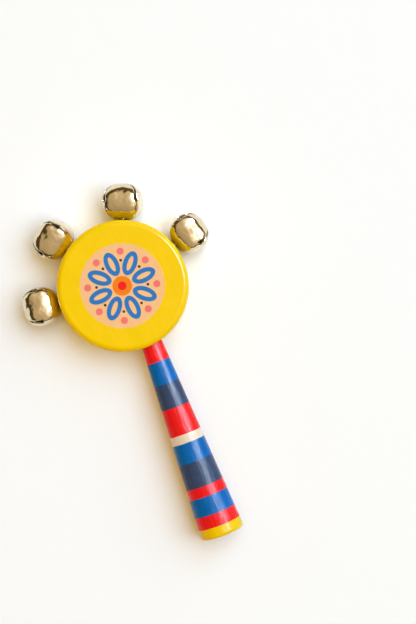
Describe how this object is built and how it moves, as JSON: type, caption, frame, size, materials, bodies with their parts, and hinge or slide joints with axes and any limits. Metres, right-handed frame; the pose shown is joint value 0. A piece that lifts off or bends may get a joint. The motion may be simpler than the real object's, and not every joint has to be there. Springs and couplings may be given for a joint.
{
  "type": "bell rattle",
  "caption": "Wooden hand rattle: a thick round lacquered disc on a tapered striped handle, with loose jingle bells stapled round the far half of its rim.",
  "frame": {"origin": "centre of the disc's back face, on which the rattle lies", "axes": "+Z out of the disc's front face, +Y from the handle to the bells, X across the disc"},
  "size_m": [0.1084, 0.1947, 0.024],
  "materials": {
    "disc_lacquer": "satin lacquer",
    "handle_lacquer": "satin lacquer in stripes",
    "nickel_plate": "polished",
    "wire": "zinc plated",
    "pellet_steel": "tumbled"
  },
  "bodies": {
    "rattle": {"head_disc": "disc_lacquer", "handle": "handle_lacquer", "bell_staple_1": "wire", "bell_staple_2": "wire", "bell_staple_3": "wire", "bell_staple_4": "wire"},
    "bell_1": {"bell_shell_1": "nickel_plate", "bell_loop_1": "wire"},
    "bell_2": {"bell_shell_2": "nickel_plate", "bell_loop_2": "wire"},
    "bell_3": {"bell_shell_3": "nickel_plate", "bell_loop_3": "wire"},
    "bell_4": {"bell_shell_4": "nickel_plate", "bell_loop_4": "wire"},
    "pellet_1": {"bell_pellet_1": "pellet_steel"},
    "pellet_2": {"bell_pellet_2": "pellet_steel"},
    "pellet_3": {"bell_pellet_3": "pellet_steel"},
    "pellet_4": {"bell_pellet_4": "pellet_steel"}
  },
  "joints": [
    {"name": "bell_1_swing", "type": "hinge", "parent": "rattle", "child": "bell_1", "pos_m": [0.03604, 0.00832, 0.012], "axis": [0.225, -0.9744, 0], "range_deg": [-4.4, 15.5]},
    {"name": "bell_2_swing", "type": "hinge", "parent": "rattle", "child": "bell_2", "pos_m": [0.01592, 0.03338, 0.012], "axis": [0.9026, -0.4305, 0], "range_deg": [-4.4, 15.5]},
    {"name": "bell_3_swing", "type": "hinge", "parent": "rattle", "child": "bell_3", "pos_m": [-0.01877, 0.03187, 0.012], "axis": [0.8616, 0.5075, 0], "range_deg": [-4.4, 15.5]},
    {"name": "bell_4_swing", "type": "hinge", "parent": "rattle", "child": "bell_4", "pos_m": [-0.03618, 0.00769, 0.012], "axis": [0.2079, 0.9781, 0], "range_deg": [-4.4, 15.5]},
    {"name": "pellet_1_roll", "type": "slide", "parent": "bell_1", "child": "pellet_1", "axis": [0.0949, 0.0219, 0.9952], "range_m": [0, 0.013]},
    {"name": "pellet_2_roll", "type": "slide", "parent": "bell_2", "child": "pellet_2", "axis": [0.0419, 0.0879, 0.9952], "range_m": [0, 0.013]},
    {"name": "pellet_3_roll", "type": "slide", "parent": "bell_3", "child": "pellet_3", "axis": [-0.0494, 0.0839, 0.9952], "range_m": [0, 0.013]},
    {"name": "pellet_4_roll", "type": "slide", "parent": "bell_4", "child": "pellet_4", "axis": [-0.0953, 0.0202, 0.9952], "range_m": [0, 0.013]}
  ]
}
